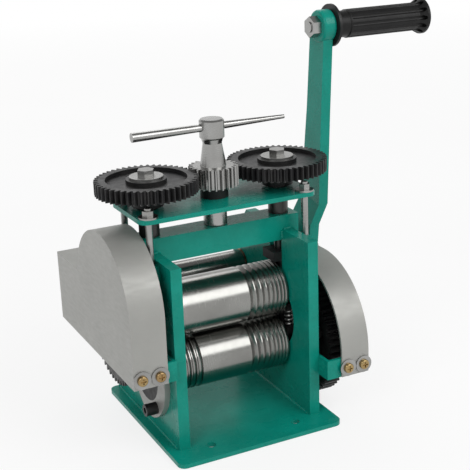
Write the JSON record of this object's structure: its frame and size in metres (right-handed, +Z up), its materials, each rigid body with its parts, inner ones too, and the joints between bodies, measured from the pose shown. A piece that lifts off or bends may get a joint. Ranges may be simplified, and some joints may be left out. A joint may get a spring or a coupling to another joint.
{
  "type": "jewellers rolling mill",
  "caption": "Hand cranked bench rolling mill with steel rolls and side grooves, geared adjusting screws with a T handle, and covered drive gears.",
  "frame": {"origin": "centre of the four bench bolt holes, on the underside of the base", "axes": "+X along the rolls towards the crank, +Y from the operator to the drive shaft, +Z up"},
  "size_m": [0.358, 0.206, 0.3595],
  "materials": {
    "green_paint": "gloss",
    "grey_paint": "satin",
    "polished_steel": "polished",
    "turned_steel": "turned",
    "black_steel": "blackened",
    "zinc_steel": "yellow zinc plated",
    "bronze": "machined",
    "spring_steel": "plain",
    "grip_plastic": "matte"
  },
  "bodies": {
    "frame": {"base_plate": "green_paint", "left_side_plate": "green_paint", "right_side_plate": "green_paint", "crossbar": "green_paint", "stud_lugs": "green_paint", "top_plate": "green_paint", "top_plate_studs": "black_steel", "top_plate_washers": "turned_steel", "top_plate_nuts": "black_steel", "spindle_collar": "black_steel", "left_lower_bearing": "black_steel", "right_lower_bearing": "black_steel", "lower_bushes": "bronze", "left_bearing_flange": "grey_paint", "right_bearing_flange": "grey_paint", "flange_bolts": "black_steel", "return_springs": "spring_steel", "shaft_bushes": "bronze", "idler_stud": "turned_steel", "left_gear_cover": "grey_paint", "right_gear_cover": "grey_paint", "left_cover_bracket": "green_paint", "right_cover_bracket": "green_paint", "cover_screws": "zinc_steel", "cover_washers": "turned_steel"},
    "crank": {"drive_shaft": "turned_steel", "shaft_sleeve": "polished_steel", "left_drive_pinion": "black_steel", "right_drive_pinion": "black_steel", "crank_collar": "turned_steel", "crank_arm": "green_paint", "crank_washer": "turned_steel", "crank_nut": "turned_steel", "grip_spindle": "turned_steel", "grip_nut": "turned_steel", "grip_disc": "black_steel"},
    "grip": {"crank_grip": "grip_plastic"},
    "idler": {"idler_gear": "black_steel"},
    "lower_roll_set": {"lower_roll": "polished_steel", "lower_roll_spacer": "turned_steel", "right_main_gear": "black_steel", "right_gear_nut": "black_steel"},
    "carriage": {"left_upper_bearing": "black_steel", "right_upper_bearing": "black_steel", "upper_bushes": "bronze"},
    "upper_roll_rocker": {"upper_roll_spacer": "turned_steel"},
    "upper_roll_set": {"upper_roll": "polished_steel", "left_main_gear": "black_steel", "left_gear_nut": "black_steel"},
    "left_screw_set": {"left_screw": "turned_steel", "left_adjusting_gear": "black_steel", "left_screw_washer": "black_steel", "left_screw_bolt": "black_steel"},
    "right_screw_set": {"right_screw": "turned_steel", "right_adjusting_gear": "black_steel", "right_screw_washer": "black_steel", "right_screw_bolt": "black_steel"},
    "t_handle": {"t_handle_spindle": "polished_steel", "t_handle_bar": "polished_steel", "adjusting_pinion": "turned_steel"}
  },
  "joints": [
    {"name": "crank_turn", "type": "hinge", "parent": "frame", "child": "crank", "pos_m": [0, 0.0686, 0.113], "axis": [1, 0, 0], "continuous": true},
    {"name": "grip_spin", "type": "hinge", "parent": "crank", "child": "grip", "pos_m": [0.2, 0.03305, 0.34003], "axis": [1, 0, 0], "continuous": true},
    {"name": "idler_turn", "type": "hinge", "parent": "frame", "child": "idler", "pos_m": [0.092, 0.06562, 0.07903], "axis": [1, 0, 0], "continuous": true},
    {"name": "lower_roll_turn", "type": "hinge", "parent": "frame", "child": "lower_roll_set", "pos_m": [0, -0.0035, 0.0585], "axis": [1, 0, 0], "continuous": true},
    {"name": "handle_turn", "type": "hinge", "parent": "frame", "child": "t_handle", "pos_m": [0, -0.0035, 0.224], "axis": [0, 0, 1], "range_deg": [-1547, 601]},
    {"name": "carriage_slide", "type": "slide", "parent": "frame", "child": "carriage", "axis": [0, 0, 1], "range_m": [-0.0015, 0.004], "deforming": ["return_springs"]},
    {"name": "left_screw_turn", "type": "hinge", "parent": "carriage", "child": "left_screw_set", "pos_m": [-0.0631, -0.0035, 0.18], "axis": [0, 0, 1], "range_deg": [-286, 744]},
    {"name": "right_screw_turn", "type": "hinge", "parent": "carriage", "child": "right_screw_set", "pos_m": [0.0631, -0.0035, 0.18], "axis": [0, 0, 1], "range_deg": [-286, 744]},
    {"name": "rocker_turn", "type": "hinge", "parent": "carriage", "child": "upper_roll_rocker", "pos_m": [-0.075, -0.0035, 0.1113], "axis": [1, 0, 0], "range_deg": [-5, 2]},
    {"name": "upper_roll_turn", "type": "hinge", "parent": "upper_roll_rocker", "child": "upper_roll_set", "pos_m": [0, -0.0035, 0.1113], "axis": [1, 0, 0], "continuous": true}
  ],
  "couplings": [
    {"joint": "idler_turn", "follows": "crank_turn", "ratio": -1},
    {"joint": "lower_roll_turn", "follows": "crank_turn", "ratio": 0.30909},
    {"joint": "upper_roll_turn", "follows": "crank_turn", "ratio": -0.30909},
    {"joint": "handle_turn", "follows": "carriage_slide", "rad_per_m": -6693},
    {"joint": "left_screw_turn", "follows": "carriage_slide", "rad_per_m": 3141.6},
    {"joint": "right_screw_turn", "follows": "carriage_slide", "rad_per_m": 3141.6},
    {"joint": "rocker_turn", "follows": "carriage_slide", "rad_per_m": -18.182}
  ]
}
